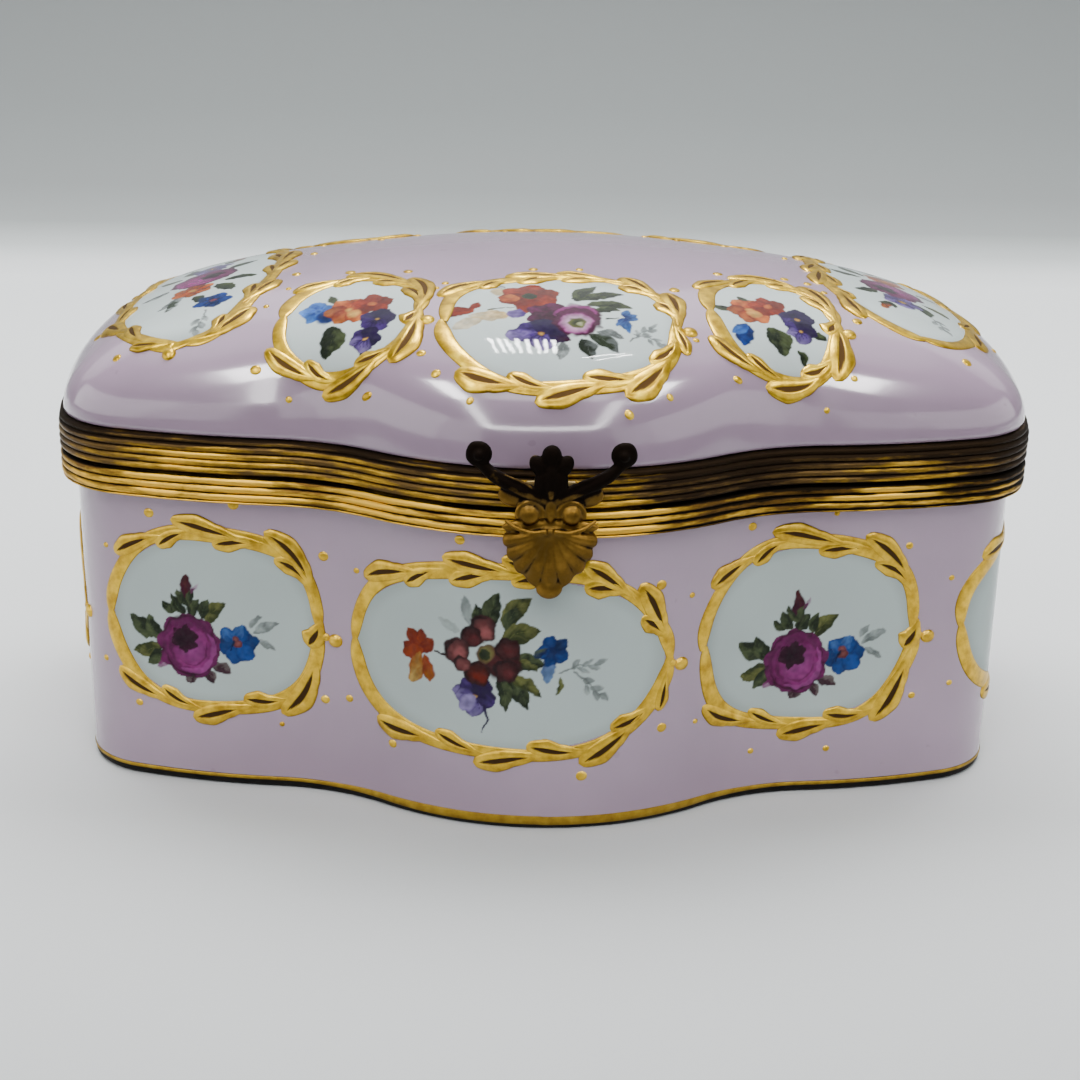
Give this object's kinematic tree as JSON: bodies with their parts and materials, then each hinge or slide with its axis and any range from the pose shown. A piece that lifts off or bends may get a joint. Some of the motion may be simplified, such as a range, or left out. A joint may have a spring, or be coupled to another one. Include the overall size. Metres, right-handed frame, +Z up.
{
  "type": "porcelain trinket box",
  "caption": "Serpentine porcelain trinket box with a domed lid, reeded brass mounts, a back hinge and a shell clasp.",
  "frame": {"origin": "under the middle of the foot, on the surface that the box stands on", "axes": "+Z up, front with the clasp towards -Y, hinge at +Y, longest side along X"},
  "size_m": [0.1222, 0.0874, 0.0625],
  "materials": {
    "body_porcelain": "gloss mauve glaze with white reserves, enamel flowers and raised gilding",
    "lid_porcelain": "gloss mauve glaze with white reserves, enamel flowers and raised gilding",
    "cement": "matte",
    "body_mount": "worn antique gilding",
    "lid_mount": "worn antique gilding, tarnished",
    "hinge": "tarnished",
    "hinge_pin": "satin",
    "catch_stud": "satin",
    "clasp_spring": "satin",
    "clasp_ornament": "dark bronze patina with rubbed high spots"
  },
  "bodies": {
    "body": {"body_porcelain": "body_porcelain", "body_cement": "cement", "body_mount": "body_mount", "catch_stud": "catch_stud", "hinge_body_knuckle_left": "hinge", "hinge_body_knuckle_centre": "hinge", "hinge_body_knuckle_right": "hinge", "hinge_pin": "hinge_pin"},
    "lid": {"lid_porcelain": "lid_porcelain", "lid_cement": "cement", "lid_mount": "lid_mount", "hinge_lid_knuckle_left": "hinge", "hinge_lid_knuckle_right": "hinge", "clasp_spring": "clasp_spring", "clasp_ornament": "clasp_ornament"}
  },
  "joints": [
    {"name": "lid_hinge", "type": "hinge", "parent": "body", "child": "lid", "pos_m": [0, 0.04223, 0.0412], "axis": [-1, 0, 0], "range_deg": [0, 100]}
  ]
}
